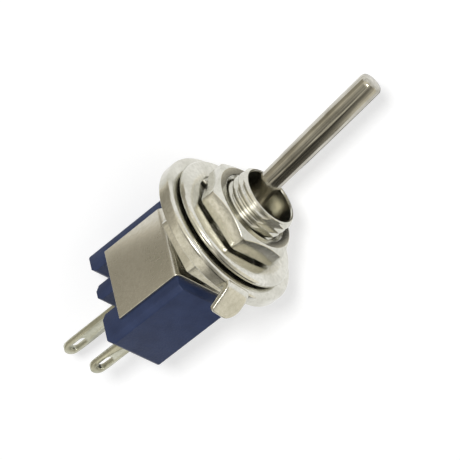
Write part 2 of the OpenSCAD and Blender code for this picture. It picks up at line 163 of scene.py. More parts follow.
# %% [markdown]
# The case is moulded in a steel tool, the bracket is sheared and folded from thin sheet, and the solder
# lugs are stamped from strip. All of them are right as solids, down to the barriers between the lugs;
# what they lack is the small round along each edge. They could be modelled again, but a copy keeps every
# size: it is merged into clean faces, and a Bevel modifier rounds its edges sharper than 40 degrees. The
# case's cavity and the lugs' hidden ends are left sharp, since nobody sees them.

# %% Softened copies of the case, the bracket and the lugs


def softened_copy(node, name, width, keep=None, segments=3):
    """A merged copy of a node with its sharp edges rounded by `width` millimetres. keep is a rule on
    an edge's two ends, in millimetres, that says which edges are rounded."""
    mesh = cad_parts[node].data.copy()
    mesh.name = name
    mesh.materials.clear()
    work = bmesh.new()
    work.from_mesh(mesh)
    bmesh.ops.remove_doubles(work, verts=work.verts, dist=2e-7)
    bmesh.ops.dissolve_limit(work, angle_limit=math.radians(1), verts=work.verts, edges=work.edges)
    bmesh.ops.recalc_face_normals(work, faces=work.faces)
    weight = work.edges.layers.float.new("bevel_weight_edge")
    for edge in work.edges:
        ends = np.array([v.co for v in edge.verts]) / MM
        sharp = len(edge.link_faces) == 2 and edge.calc_face_angle(0) > math.radians(40)
        edge[weight] = 1.0 if sharp and (keep is None or keep(ends)) else 0.0
        edge.smooth = not sharp or edge[weight] > 0
    work.to_mesh(mesh)
    work.free()
    mesh.polygons.foreach_set("use_smooth", np.ones(len(mesh.polygons), bool))
    piece = bpy.data.objects.new(name, mesh)
    bpy.context.scene.collection.objects.link(piece)
    bevel = piece.modifiers.new("edge_round", "BEVEL")
    bevel.limit_method = "WEIGHT"
    bevel.width = width * MM
    bevel.segments = segments
    bevel.use_clamp_overlap = False
    bevel.harden_normals = True
    print(f"{name}: {len(mesh.polygons)} faces before its edges are rounded")
    return piece


def on_case_skin(ends):
    """True for edges on the outside of the case or round its lug barriers, and not in the cavity."""
    outside = np.abs(ends[:, 1]) > case_high[1] - 0.4
    below = ends[:, 2] < case_low[2] + 0.01
    outside |= np.abs(ends[:, 0]) > case_high[0] - 0.4
    return bool((outside | below).all())


def outside_the_case(ends):
    """True for a lug's edges that stand out below the case."""
    return ends[:, 2].max() < case_low[2] + 0.1


case_shell = softened_copy("case", "case_shell", 0.07, on_case_skin)
bracket_sheet = softened_copy("bracket", "bracket_sheet", 0.05)
common_blade = softened_copy("common_lug", "common_blade", 0.06, outside_the_case)
end_blade = softened_copy("end_lug", "end_blade", 0.06, outside_the_case)

# %% [markdown]
# The bushing is one brass turning: a rectangular flange let into the case, a fine thread with a flat
# milled down one side, and a bore that widens to the mouth and ends in the round seat of the lever's
# ball. A thread can be swept along a helix, but such a sweep is hard to close at its ends and at the
# flat. Here the skin is a function of the angle and of the place along the section, so the helix and the
# flat are two lines of arithmetic on the radius.

# %% The threaded bushing
thread_r, flat_x, pitch, thread_depth = 2.5, 2.25, 0.5, 0.2
mouth_r, throat_r, seat_r = 2.1, 1.35, 1.75
flange_x, flange_y = 3.0, 2.2
bush_turns, steps_per_pitch, end_bevel = 288, 12, 0.08


def thread_radius(angle, z):
    """Radius of a right-hand thread: a clipped triangle wave of z/pitch - angle/turn, cut by the
    end bevel and by the flat, where the radius is flat_x / cos(angle)."""
    phase = (z / pitch - angle / (2 * np.pi)) % 1
    ridge = np.clip(np.abs(2 * phase - 1) * 1.7 - 0.35, 0, 1)
    r = thread_r - thread_depth * (1 - ridge)
    r = np.minimum(r, thread_r - np.clip(z - (mouth_z - 0.25), 0, None))
    return np.minimum(r, np.where(np.cos(angle) > 0.5, flat_x / np.cos(angle), 9.0))


angle = np.linspace(0, 2 * np.pi, bush_turns, endpoint=False)[:, None]
climb = np.arange(case_top, mouth_z - end_bevel, pitch / steps_per_pitch)[None, :]
wall = np.stack([thread_radius(angle, climb), climb + 0 * angle], -1)
to_side = flange_x / np.maximum(np.abs(np.cos(angle)), 1e-6)
to_front = flange_y / np.maximum(np.abs(np.sin(angle)), 1e-6)
flange_half = np.minimum(to_side, to_front)
foot = bush_low[2]
foot_ring = np.stack([np.stack([seat_r + 0 * flange_half, foot + 0 * angle], -1),
                      np.stack([flange_half, foot + 0 * angle], -1),
                      np.stack([flange_half, case_top - 0.01 + 0 * angle], -1)], 1).reshape(bush_turns, 3, 2)
seat_lift = np.radians(np.linspace(50, 0, 7))
bore = [(thread_r - 0.17, mouth_z - end_bevel), (thread_r - 0.25, mouth_z), (mouth_r + 0.08, mouth_z),
        (mouth_r, mouth_z - 0.12), (mouth_r, pivot_z + 4.6),
        (throat_r, pivot_z + 1.6), (throat_r, pivot_z + 1.36)]
bore = soften(bore, 0.05, 4, closed=False)
seat = np.stack([seat_r * np.cos(seat_lift), pivot_z + seat_r * np.sin(seat_lift)], -1)
inner = np.broadcast_to(np.vstack([bore, seat])[None], (bush_turns, len(bore) + len(seat), 2))
section = np.concatenate([foot_ring, wall, inner], 1)
grid = np.stack([section[..., 0] * np.cos(angle), section[..., 0] * np.sin(angle), section[..., 1]], -1)
bushing_thread = skin("bushing_thread", [(grid, grid_faces(*grid.shape[:2]))])
print(f"thread of {2 * thread_r:.1f} mm with a pitch of {pitch} mm, mouth {2 * mouth_r:.1f} mm wide")

# %% [markdown]
# Both nuts are parted from hexagonal bar and chamfered on their upper face, so a cone cuts the corners
# there. The usual way is a six-sided cylinder less a cone, by a boolean that leaves long thin faces. Here
# a section is carried round the nut instead: the flank's distance is apothem / cos(angle from the flank's
# middle), and the cone lowers the edge in step with that distance. That draws the curved line at each
# corner by itself.

# %% The two hexagonal nuts
nut_apothem, cone_r, nut_bore = 3.5, 3.395, 2.52
blunt_from, blunt_share, cone_slope = 3.93, 0.5, math.tan(math.radians(30))


def hex_grid(low, high, turn):
    """Section at each angle: bore, lower face, flank, cone, upper face, all softened a little. Beyond
    `blunt_from` a corner grows by only a share of its distance, which blunts it."""
    a = np.radians(np.linspace(0, 360, 360, endpoint=False) + turn)
    from_middle = (np.degrees(a) - turn) % 60 - 30
    flank = nut_apothem / np.cos(np.radians(from_middle))
    flank = flank - blunt_share * np.clip(flank - blunt_from, 0, None)
    drop = (flank - cone_r) * cone_slope
    same = np.ones_like(flank)
    corners = np.stack([
        np.stack([nut_bore * same, (low + 0.3) * same], -1),
        np.stack([(nut_bore + 0.3) * same, low * same], -1),
        np.stack([flank, low * same], -1),
        np.stack([flank, high - drop], -1),
        np.stack([cone_r * same, high * same], -1),
        np.stack([(nut_bore + 0.3) * same, high * same], -1),
        np.stack([nut_bore * same, (high - 0.3) * same], -1)], 1)
    line = soften(corners, [0.03, 0.05, 0.06, 0.06, 0.05, 0.05, 0.03], 5)
    r, h = line[..., 0], line[..., 1]
    return np.stack([r * np.cos(a)[:, None], r * np.sin(a)[:, None], h], -1)


hexes = {}
for node, turn in (("lower_nut", -37), ("upper_nut", -28)):
    grid = hex_grid(*nut_levels[node], turn)
    hexes[node] = skin(node + "_hex", [(grid, grid_faces(*grid.shape[:2]))])
    low, high = nut_levels[node]
    print(f"{node}: {2 * nut_apothem:.1f} mm across flats, {high - low:.2f} mm thick")

# %% [markdown]
# The locating ring is a stamped washer with one tab bent down. The tab drops into a small hole in the
# panel, so that the switch can't turn when its nut is tightened. Stamping rounds the ring's upper rim.
# The ring is a softened rectangle turned round Z. The tab is a rounded sheet section carried along the
# bend, and its half width shrinks at the end along a circle, which gives the tab its round corners. Its
# root lies just under the ring's upper face, because two faces in one plane would flicker.

# %% The locating ring and its tab
ring_turn, tab_slope = math.radians(-8), math.radians(61)
tab_half, tab_t, tab_run = 1.0, 0.55, 1.75
tab_inset, bend_r, root_depth = 0.15, 0.25, 0.03
ring_bore = 2.6
ring_corners = [(ring_bore, 0), (ring_r, 0), (ring_r, ring_t), (ring_bore, ring_t)]
ring_profile = soften(ring_corners, [0.04, 0.1, 0.32, 0.04], 8)


def tab_grid():
    """Centre line: straight in the ring, round the bend, straight down the slope. At each place a
    softened rectangle, as wide as the tab there and as thick as the sheet, stands across it. Near the
    end each side draws in along its own quarter circle: half width - r + sqrt(r^2 - past^2)."""
    half_t, bend_x = tab_t / 2, ring_r - tab_inset
    mid = bend_r + half_t
    bend_z = ring_t - half_t - mid
    straight = np.linspace(bend_x - 0.9, bend_x, 4)[:-1]
    turn = np.linspace(0, tab_slope, 12)
    run = (tab_run - 0.04) * np.sin(np.linspace(0, np.pi / 2, 40))[1:]
    end = np.array([bend_x + mid * math.sin(tab_slope), bend_z + mid * math.cos(tab_slope)])
    along = np.array([math.cos(tab_slope), -math.sin(tab_slope)])
    line = np.vstack([np.stack([straight, ring_t - half_t - root_depth + 0 * straight], -1),
                      np.stack([bend_x + mid * np.sin(turn), bend_z + mid * np.cos(turn)], -1),
                      end + run[:, None] * along])
    lean = np.concatenate([0 * straight, turn, tab_slope + 0 * run])
    gone = np.concatenate([0 * straight, 0 * turn, run])

    def side(corner):
        past = np.clip(gone - (tab_run - corner), 0, corner)
        return tab_half - corner + np.sqrt(np.maximum(corner**2 - past**2, 1e-6))

    left, right = side(0.3), side(1.15)
    tip = np.clip(gone - (tab_run - 0.14), 0, 0.14)
    thick = half_t * np.sqrt(np.clip(1 - (tip / 0.15) ** 2, 0.02, 1))
    edge = soften([(-1, -1), (1, -1), (1, 1), (-1, 1)], 0.3, 5)
    reach = np.where(edge[None, :, 0] < 0, left[:, None], right[:, None])
    across = edge[None, :, 0] * reach
    up = edge[None, :, 1] * thick[:, None]
    x = line[:, None, 0] + up * np.sin(lean)[:, None]
    z = line[:, None, 1] + up * np.cos(lean)[:, None]
    c, s = math.cos(ring_turn), math.sin(ring_turn)
    grid = np.stack([x * c - across * s, x * s + across * c, z], -1)
    ends = [np.repeat(g.mean(0)[None, None], grid.shape[1], 1) for g in (grid[0], grid[-1])]
    return np.concatenate([ends[0], grid, ends[1]], 0)


tab = tab_grid()
ring_grid, ring_quads = turned(ring_profile, 240)
tab_quads = grid_faces(*tab.shape[:2], wrap_u=False)
locating_plate = skin("locating_plate", [(ring_grid, ring_quads), (tab, tab_quads)])

# %% [markdown]
# The lock washer is stamped from spring steel: a wide smooth rim with ten teeth inside it, each twisted
# about its own length so that its edges bite into the nut and the ring. The teeth could be copies of one
# mesh put round with an Array modifier. As a formula they come out in one array, each already in place.

# %% The toothed lock washer
rim_mid = (rim_low[2] + rim_high[2]) / 2
rim_inner, rim_half_t, teeth = 3.8, 0.3, 10
tooth_tip_r, tooth_half_t, half_slot = 2.63, 0.17, 0.24
tooth_twist, first_tooth = math.radians(9), -0.1
rim_corners = [(rim_inner, rim_mid - rim_half_t), (rim_r - 0.03, rim_mid - rim_half_t), (rim_r, rim_mid),
               (rim_r - 0.12, rim_mid + 0.22), (rim_r - 0.65, rim_mid + rim_half_t),
               (rim_inner, rim_mid + 0.29)]
rim_profile = soften(rim_corners, [0.05, 0.25, 0.12, 0.2, 0.3, 0.04], 8)


def tooth_patches():
    """Tooth k stands at k - 0.1 tenths of a turn. Its half width at radius r is pi r / 10 less half the
    slot, so the slots stay narrow, and its section is turned by `twist` about the tooth's length. All
    teeth are worked out in one array."""
    k = (np.arange(teeth) + first_tooth) * 2 * np.pi / teeth
    run = np.linspace(rim_inner + 0.2, tooth_tip_r, 14)
    twist = tooth_twist * np.clip((rim_inner + 0.1 - run) / 0.6, 0, 1)
    half_wide = np.pi * run / teeth - half_slot
    section = soften([(-1, -1), (1, -1), (1, 1), (-1, 1)], 0.12, 4)
    wide, thick = section[None, :, 0] * half_wide[:, None], section[None, :, 1] * tooth_half_t
    across = wide * np.cos(twist)[:, None] - thick * np.sin(twist)[:, None]
    up = wide * np.sin(twist)[:, None] + thick * np.cos(twist)[:, None]
    x = run[None, :, None] * np.cos(k)[:, None, None] - across[None] * np.sin(k)[:, None, None]
    y = run[None, :, None] * np.sin(k)[:, None, None] + across[None] * np.cos(k)[:, None, None]
    grid = np.stack([x, y, np.broadcast_to(rim_mid + up[None], x.shape)], -1)
    ends = [np.repeat(g.mean(1, keepdims=True)[:, None], grid.shape[2], 2)
            for g in (grid[:, 0], grid[:, -1])]
    grid = np.concatenate([ends[0], grid, ends[1]], 1)
    return [(g, grid_faces(*g.shape[:2], wrap_u=False)) for g in grid]


tooth_washer = skin("tooth_washer", [turned(rim_profile, 240)] + tooth_patches())

# %% [markdown]
# The lever is turned from one rod: a ball that rocks in the bushing, a shank, a low collar, then the long
# handle with a rounded end. A blind bore in its tail takes the spring and the plunger that push the
# rocker over. It is drawn upright as one section and leaned over with a matrix that is applied to its
# points, so the object itself stays unturned and its body's hinge still fits it.

# %% The lever
lean = math.radians(8)
lever_l, tip_r, neck_r, collar_r, shank_r = 18.3, 0.88, 0.81, 1.2, 1.0
ball_r, tail_r, tail_bore_r, tail_low, bore_top = 1.7, 1.1, 0.75, -2.3, 0.5
lever_turns = 96
lever_profile = [(0.0, lever_l), (tip_r, lever_l), (tip_r, 13.3), (neck_r, 6.72),
                 (collar_r, 5.5), (shank_r, 5.2), (shank_r, 1.3)]
handle = soften(lever_profile, [0, 0.42, 1.5, 0.5, 0.12, 0.1, 0.1], 9, closed=False)
ball_turn = np.radians(np.linspace(52, -45, 16))
ball = np.stack([ball_r * np.cos(ball_turn), ball_r * np.sin(ball_turn)], -1)
tail_corners = [(tail_r, -1.25), (tail_r, tail_low), (tail_bore_r, tail_low),
                (tail_bore_r, bore_top), (0.0, bore_top)]
tail = soften(tail_corners, [0, 0.08, 0.05, 0.03, 0], 4, closed=False)
lever_line = np.vstack([handle, ball, tail])
lever_grid = turned(lever_line, lever_turns)[0]
tilt = np.array([[math.cos(lean), 0, -math.sin(lean)], [0, 1, 0], [math.sin(lean), 0, math.cos(lean)]])
lever_grid = lever_grid @ tilt.T + np.array([0, 0, pivot_z])
lever_quads = grid_faces(lever_turns, len(lever_line), wrap_v=False)
lever_rod = skin("lever_rod", [(lever_grid, lever_quads)])
print(f"lever {lever_l} mm from its pivot, leaning {math.degrees(lean):.0f} degrees")

# %% [markdown]
# Ten new pieces stand for ten nodes. Nine of them belong to the switch's body, and only the lever moves.
# The other five nodes, inside the case and the lever, are small and hidden, so the solids themselves are
# shown and only take a finish further down.

# %% Every new piece on its body
rides(case_shell, "switch_body", "case_plastic", "case")
rides(bracket_sheet, "switch_body", "bracket_steel", "bracket")
rides(common_blade, "switch_body", "lug_silver", "common_lug")
rides(end_blade, "switch_body", "lug_silver", "end_lug")
rides(bushing_thread, "switch_body", "plated_brass", "bushing")
rides(hexes["lower_nut"], "switch_body", "plated_brass", "lower_nut")
rides(hexes["upper_nut"], "switch_body", "plated_brass", "upper_nut")
rides(locating_plate, "switch_body", "plated_steel", "locating_ring")
rides(tooth_washer, "switch_body", "plated_steel", "lock_washer")
rides(lever_rod, "toggle_lever", "plated_brass", "lever")
print("rides with the lever:", lever_rod.name)

# %% [markdown]
# Finishes. Each is a procedural material on Object coordinates, so no piece needs to be unwrapped and
# every mark keeps its size in millimetres. What several finishes share is a node group: a cloudy haze,
# which drawn very fine is also a grain, and the long streaks that turning and polishing leave.
# A group gives only a mask from 0 to 1, and each material decides what that mask does.

# %% Node helpers and shared groups


def node_group(name, inputs):
    """A shader node group with named float inputs, a Vector input and one output called Mask."""
    group = bpy.data.node_groups.new(name, "ShaderNodeTree")
    group.interface.new_socket("Vector", in_out="INPUT", socket_type="NodeSocketVector")
    for label, value in inputs.items():
        group.interface.new_socket(label, in_out="INPUT", socket_type="NodeSocketFloat").default_value = value
    group.interface.new_socket("Mask", in_out="OUTPUT", socket_type="NodeSocketFloat")
    start = group.nodes.new("NodeGroupInput")
    end = group.nodes.new("NodeGroupOutput")
    return group, start, end


def math_node(tree, kind, a, b=None, clamp=False):
    """A Math node: a and b are numbers or sockets."""
    node = tree.nodes.new("ShaderNodeMath")
    node.operation = kind
    node.use_clamp = clamp
    for socket, value in zip(node.inputs, (a, b)):
        if value is None:
            continue
        if isinstance(value, (int, float)):
            socket.default_value = value
        else:
            tree.links.new(value, socket)
    return node.outputs[0]


def noise_mask(group, start, end, vector, detail):
    """Noise at Scale, pushed away from its middle: mask = 0.5 + (noise - 0.5) Contrast."""
    noise = group.nodes.new("ShaderNodeTexNoise")
    noise.inputs["Detail"].default_value = detail
    group.links.new(vector, noise.inputs["Vector"])
    group.links.new(start.outputs["Scale"], noise.inputs["Scale"])
    away = math_node(group, "SUBTRACT", noise.outputs["Fac"], 0.5)
    push = math_node(group, "MULTIPLY", away, start.outputs["Contrast"])
    group.links.new(math_node(group, "ADD", push, 0.5, clamp=True), end.inputs["Mask"])


def cloud_group():
    """Soft cloudy patches, alike in every direction."""
    group, start, end = node_group("cloudy_haze", {"Scale": 300.0, "Contrast": 2.0})
    noise_mask(group, start, end, start.outputs["Vector"], 4.0)
    return group


def streak_group():
    """Long lines along Z: noise on coordinates whose Z is squeezed, so each spot is drawn out."""
    group, start, end = node_group("drawn_streaks", {"Scale": 2500.0, "Contrast": 2.0})
    squeeze = group.nodes.new("ShaderNodeVectorMath")
    squeeze.operation = "MULTIPLY"
    squeeze.inputs[1].default_value = (1.0, 1.0, 0.05)
    group.links.new(start.outputs["Vector"], squeeze.inputs[0])
    noise_mask(group, start, end, squeeze.outputs["Vector"], 3.0)
    return group


cloudy, streaky = cloud_group(), streak_group()
print("shared groups:", cloudy.name, streaky.name)

# %% [markdown]
# One recipe serves every metal. Nickel plating is bright but never even: a faint haze dulls its colour
# in places and roughens it in the same places, and the tool marks below it show as a very low bump. So
# one mask drives both the colour and the roughness, and streaks or grain drive the bump. The bracket is
# satin, the nuts, ring and washer are bright, the lugs are silver plated and a little yellowed, and the
# lever has long streaks, which are turned with the lever so that they run along it.

# %% Metal recipe


def placed(tree, group, vector, **values):
    """One use of a shared group with its own values."""
    node = tree.nodes.new("ShaderNodeGroup")
    node.node_tree = group
    tree.links.new(vector, node.inputs["Vector"])
    for label, value in values.items():
        node.inputs[label].default_value = value
    return node.outputs["Mask"]


def blend_colour(tree, mask, dull, bright):
    """Mix node: dull where the mask is 0 and bright where it is 1."""
    mix = tree.nodes.new("ShaderNodeMix")
    mix.data_type = "RGBA"
    mix.inputs["A"].default_value = (*dull, 1)
    mix.inputs["B"].default_value = (*bright, 1)
    tree.links.new(mask, mix.inputs["Factor"])
    return mix.outputs["Result"]


def spread(tree, mask, low, high):
    """Maps a 0 to 1 mask onto low to high."""
    node = tree.nodes.new("ShaderNodeMapRange")
    node.inputs["To Min"].default_value = low
    node.inputs["To Max"].default_value = high
    tree.links.new(mask, node.inputs["Value"])
    return node.outputs["Result"]


def metal(name, dull, bright, rough, haze=350.0, lines=0.0, bump=0.15, turned_by=None):
    """A plated metal. rough is (least, most), and mask = sqrt(haze x fine). lines is the streaks'
    scale, or 0 for an even grain, and turned_by is the angles by which the streaks' axis is turned."""
    material = bpy.data.materials.new(name)
    material.use_nodes = True
    tree = material.node_tree
    shader = tree.nodes["Principled BSDF"]
    where = tree.nodes.new("ShaderNodeTexCoord").outputs["Object"]
    if turned_by:
        turn = tree.nodes.new("ShaderNodeMapping")
        turn.inputs["Rotation"].default_value = turned_by
        tree.links.new(where, turn.inputs["Vector"])
        where = turn.outputs["Vector"]
    haze_mask = placed(tree, cloudy, where, Scale=haze, Contrast=2.4)
    fine = placed(tree, streaky if lines else cloudy, where, Scale=lines or 4000.0, Contrast=1.6)
    mask = math_node(tree, "MULTIPLY", haze_mask, fine)
    mask = math_node(tree, "POWER", mask, 0.5)
    tree.links.new(blend_colour(tree, mask, dull, bright), shader.inputs["Base Color"])
    tree.links.new(spread(tree, mask, rough[1], rough[0]), shader.inputs["Roughness"])
    shader.inputs["Metallic"].default_value = 1.0
    relief = tree.nodes.new("ShaderNodeBump")
    relief.inputs["Strength"].default_value = bump
    relief.inputs["Distance"].default_value = 2e-5
    tree.links.new(fine, relief.inputs["Height"])
    tree.links.new(relief.outputs["Normal"], shader.inputs["Normal"])
    return material


nickel = metal("bright_nickel", (0.46, 0.45, 0.38), (0.80, 0.79, 0.73), (0.12, 0.26))
turned_nickel = metal("turned_nickel", (0.15, 0.13, 0.09), (0.78, 0.76, 0.68), (0.08, 0.22),
                      lines=3600.0, bump=0.5, turned_by=(0, lean, 0))
satin_steel = metal("satin_bracket", (0.52, 0.50, 0.43), (0.72, 0.70, 0.63), (0.20, 0.30), haze=260.0)
silvered = metal("silvered_lug", (0.40, 0.40, 0.31), (0.68, 0.68, 0.57), (0.2, 0.36), haze=500.0)
spring_wire = metal("spring_wire", (0.36, 0.35, 0.33), (0.6, 0.6, 0.58), (0.15, 0.3))
rocker_brass = metal("rocker_brass", (0.5, 0.33, 0.12), (0.8, 0.6, 0.28), (0.18, 0.35))
contact_silver = metal("contact_silver", (0.7, 0.7, 0.66), (0.9, 0.9, 0.88), (0.15, 0.3))
metals = (nickel, turned_nickel, satin_steel, silvered, spring_wire, rocker_brass, contact_silver)
print("metals:", ", ".join(m.name for m in metals))

# %% [markdown]
# The case is a moulded thermosetting plastic: dark blue, slightly mottled, with a fine matt grain from
# the tool. The plunger is natural nylon. Both mottle and grain are the cloudy group at two scales: the
# mottle changes the colour, and the grain changes the roughness and gives a low bump.

# %% Moulded plastics


def plastic(name, dark, light, rough, grain_scale=6600.0):
    """A moulded plastic with mottled colour and a fine grain. rough is (least, most)."""
    material = bpy.data.materials.new(name)
    material.use_nodes = True
    tree = material.node_tree
    shader = tree.nodes["Principled BSDF"]
    where = tree.nodes.new("ShaderNodeTexCoord").outputs["Object"]
    shader.inputs["Specular IOR Level"].default_value = 0.3
    mottle = placed(tree, cloudy, where, Scale=700.0, Contrast=1.8)
    grain = placed(tree, cloudy, where, Scale=grain_scale, Contrast=2.2)
    tree.links.new(blend_colour(tree, mottle, dark, light), shader.inputs["Base Color"])
    tree.links.new(spread(tree, grain, *rough), shader.inputs["Roughness"])
    relief = tree.nodes.new("ShaderNodeBump")
    relief.inputs["Strength"].default_value = 0.35
    relief.inputs["Distance"].default_value = 1.5e-5
    tree.links.new(grain, relief.inputs["Height"])
    tree.links.new(relief.outputs["Normal"], shader.inputs["Normal"])
    return material


case_blue = plastic("moulded_blue", (0.017, 0.029, 0.078), (0.030, 0.048, 0.120), (0.36, 0.55))
plunger_ivory = plastic("plunger_ivory", (0.55, 0.52, 0.42), (0.72, 0.69, 0.58), (0.3, 0.45))
print("plastics:", case_blue.name, "and", plunger_ivory.name)

# %% [markdown]
# Each piece takes one finish. The nuts, the ring, the washer and the bushing share the bright nickel, as
# they would from one plating bath. The hidden nodes keep their solids, and only their material slots
# are filled.

# %% Finishes on their pieces
finish_of = {
    case_shell: case_blue, bracket_sheet: satin_steel, common_blade: silvered, end_blade: silvered,
    bushing_thread: nickel, hexes["lower_nut"]: nickel, hexes["upper_nut"]: nickel,
    locating_plate: nickel, tooth_washer: nickel, lever_rod: turned_nickel}
for piece, material in finish_of.items():
    piece.data.materials.clear()
    piece.data.materials.append(material)
hidden_finish = {"plunger_spring": spring_wire, "plunger": plunger_ivory, "rocker": rocker_brass,
                 "rocker_contact": contact_silver, "end_contact": contact_silver}
for node, material in hidden_finish.items():
    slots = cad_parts[node].material_slots
    for slot in slots:
        slot.material = material
    print(node, "takes", material.name, "in", len(slots), "slot")

# %% [markdown]
# The switch lies on a white table, touching it with the rim of the locating ring and one corner of the
# case. The frame can't be turned, so the table is: it is a plane through those two places. `lie` is the
# direction, seen along the switch's axis, in which the switch leans on it.

# %% The white table
lie_angle = math.radians(145)
corner_round, rim_height, table_half = 0.25, 0.2, 0.35
axis = Vector((0, 0, 1))
lie = Vector((math.cos(lie_angle), math.sin(lie_angle), 0))
corner_reach = abs(case_high[0] * lie.x) + abs(sheet_high[1] * lie.y) - corner_round
slope = math.atan2(ring_r - corner_reach, -case_low[2] + rim_height)
table_up = -(lie * math.cos(slope) - axis * math.sin(slope))
touch = (lie * ring_r + axis * rim_height) * MM
side = table_up.cross(axis).normalized() * table_half
ahead = side.cross(table_up)
table_mesh = bpy.data.meshes.new("table")
table_corners = [touch + side * a + ahead * b for a, b in ((-1, -1), (1, -1), (1, 1), (-1, 1))]
table_mesh.from_pydata(table_corners, [], [(0, 1, 2, 3)])
table = bpy.data.objects.new("table", table_mesh)
bpy.context.scene.collection.objects.link(table)
if table_mesh.polygons[0].normal.dot(table_up) < 0:
    table_mesh.flip_normals()
print(f"the table slopes {math.degrees(slope):.1f} degrees against the switch's axis")

# %% [markdown]
# White paper would go grey between the lamps' light and the shadows. So the table also glows a little,
# but only in what the camera, a reflection or a clear body sees: the light that it throws on the switch
# stays that of plain paper. From behind it is clear, so that the switch can be looked at from every side.

# %% The table's material
table_white, table_glow = 0.6, 0.50
paper = bpy.data.materials.new("white_table")
paper.use_nodes = True
tree = paper.node_tree
tree.nodes.clear()
light_path = tree.nodes.new("ShaderNodeLightPath")
behind = tree.nodes.new("ShaderNodeNewGeometry").outputs["Backfacing"]
white = tree.nodes.new("ShaderNodeBsdfDiffuse")
white.inputs["Color"].default_value = (table_white, table_white, table_white, 1)
glow = tree.nodes.new("ShaderNodeEmission")
glow.inputs["Strength"].default_value = table_glow
both = tree.nodes.new("ShaderNodeAddShader")
seen = tree.nodes.new("ShaderNodeMixShader")
clear = tree.nodes.new("ShaderNodeBsdfTransparent")
gate = tree.nodes.new("ShaderNodeMixShader")
out = tree.nodes.new("ShaderNodeOutputMaterial")


def looking_ray(tree, light_path):
    """1 on rays from the camera, a reflection or a clear body, and 0 on rays that gather light."""
    kinds = light_path.outputs
    looked = math_node(tree, "MAXIMUM", kinds["Is Camera Ray"], kinds["Is Glossy Ray"])
    return math_node(tree, "MAXIMUM", looked, kinds["Is Transmission Ray"])


looked_at = looking_ray(tree, light_path)
tree.links.new(white.outputs[0], both.inputs[0])
tree.links.new(glow.outputs[0], both.inputs[1])
tree.links.new(looked_at, seen.inputs[0])
tree.links.new(white.outputs[0], seen.inputs[1])
tree.links.new(both.outputs[0], seen.inputs[2])
tree.links.new(behind, gate.inputs[0])
tree.links.new(seen.outputs[0], gate.inputs[1])
tree.links.new(clear.outputs[0], gate.inputs[2])
tree.links.new(gate.outputs[0], out.inputs["Surface"])
table_mesh.materials.append(paper)
print(f"{paper.name}: white {table_white}, glow {table_glow}")

# %% [markdown]
# The camera looks down on the table, turned so that the lever points up and to the right. It is placed
# by its direction, its distance and its turn about the line of sight. A long lens from far off keeps the
# nuts' and the case's edges nearly parallel, as in a catalogue picture.

# %% The camera
look_az, look_el, look_roll = math.radians(44.42), math.radians(26.29), math.radians(51.87)
look_far, lens = 209.8, 233.9
aim = Vector((-0.11, 0.30, 0.74))
flat_share = math.cos(look_el)
back = Vector((math.sin(look_az) * flat_share, -math.cos(look_az) * flat_share, math.sin(look_el)))
level = Vector((math.cos(look_az), math.sin(look_az), 0))
upright = back.cross(level)
right = level * math.cos(look_roll) + upright * math.sin(look_roll)
up = back.cross(right)
camera_data = bpy.data.cameras.new("camera")
camera_data.lens = lens
camera_data.sensor_width = 36
camera_data.clip_start, camera_data.clip_end = 0.01, 5
camera = bpy.data.objects.new("camera", camera_data)
bpy.context.scene.collection.objects.link(camera)
turn = Matrix((right, up, back)).transposed().to_4x4()
camera.matrix_world = Matrix.Translation((aim + back * look_far) * MM) @ turn
bpy.context.scene.camera = camera
print("camera at", [round(v, 4) for v in camera.location])

# %% [markdown]
# Nickel has no look of its own: it shows what stands round it. In an all-white room it would vanish into
# the table. On a real set dark cards stand beside such a thing, and the same is done here. A card is a
# bent sheet that glows by an amount kept with each of its points, as attribute `glow`, so that a card
# can fade. Only reflections see it, so it throws no light and no shadow.

# %% Cards that only reflections see
WARM_TINT, BROWN_TINT = (1.0, 0.95, 0.82), (1.0, 0.93, 0.77)


def glow_paint(name, tint):
    """Emission whose strength is the mesh's own attribute `glow`."""
    paint = bpy.data.materials.new(name)
    paint.use_nodes = True
    nodes = paint.node_tree.nodes
    nodes.clear()
    emit, level = nodes.new("ShaderNodeEmission"), nodes.new("ShaderNodeAttribute")
    emit.inputs["Color"].default_value = (*tint, 1)
    level.attribute_name = "glow"
    target = nodes.new("ShaderNodeOutputMaterial")
    paint.node_tree.links.new(level.outputs["Fac"], emit.inputs["Strength"])
    paint.node_tree.links.new(emit.outputs[0], target.inputs["Surface"])
    return paint


def graded_card(name, grid, glow, tint):
    """A card from an (n, m, 3) grid of points in metres, with the glow of each point in `glow`."""
    mesh = bpy.data.meshes.new(name)
    quads = grid_faces(*grid.shape[:2], False, False)
    mesh.from_pydata(grid.reshape(-1, 3).tolist(), [], quads.tolist())
    layer = mesh.attributes.new("glow", "FLOAT", "POINT")
    layer.data.foreach_set("value", np.ravel(glow).astype(np.float32))
    mesh.materials.append(glow_paint(name, tint))
    piece = bpy.data.objects.new(name, mesh)
    bpy.context.scene.collection.objects.link(piece)
    piece.visible_camera = False
    piece.visible_diffuse = False
    piece.visible_shadow = False
    piece.visible_transmission = False
    piece.visible_volume_scatter = False
    print(f"{name}: {len(quads)} faces, glow {np.min(glow):.2f} to {np.max(glow):.2f}")


# %% [markdown]
# The first card is a tunnel over the switch, along the lever. Each stretch of it has its own grading
# from one side of the tunnel to the other, in degrees round the tunnel. Over the lever it goes from
# light to nearly black with a thin bright line between, and a round rod draws these as long streaks.
# Over the case it is mostly light, and over the tip it is light again, so that the tip stays bright.

# %% The tunnel over the switch
along_lever = (right * 0.74 + up * 0.67)
along_lever = (along_lever - table_up * along_lever.dot(table_up)).normalized()
leftwards = table_up.cross(along_lever)
if leftwards.dot(right) > 0:
    leftwards.negate()
tunnel_r = 0.25
arch = np.radians(np.linspace(20, 180, 161))


def grading(*places):
    """The glow round the tunnel, drawn straight between (degrees, glow) places."""
    degrees, glow = zip(*places)
    return np.interp(np.degrees(arch), degrees, glow)


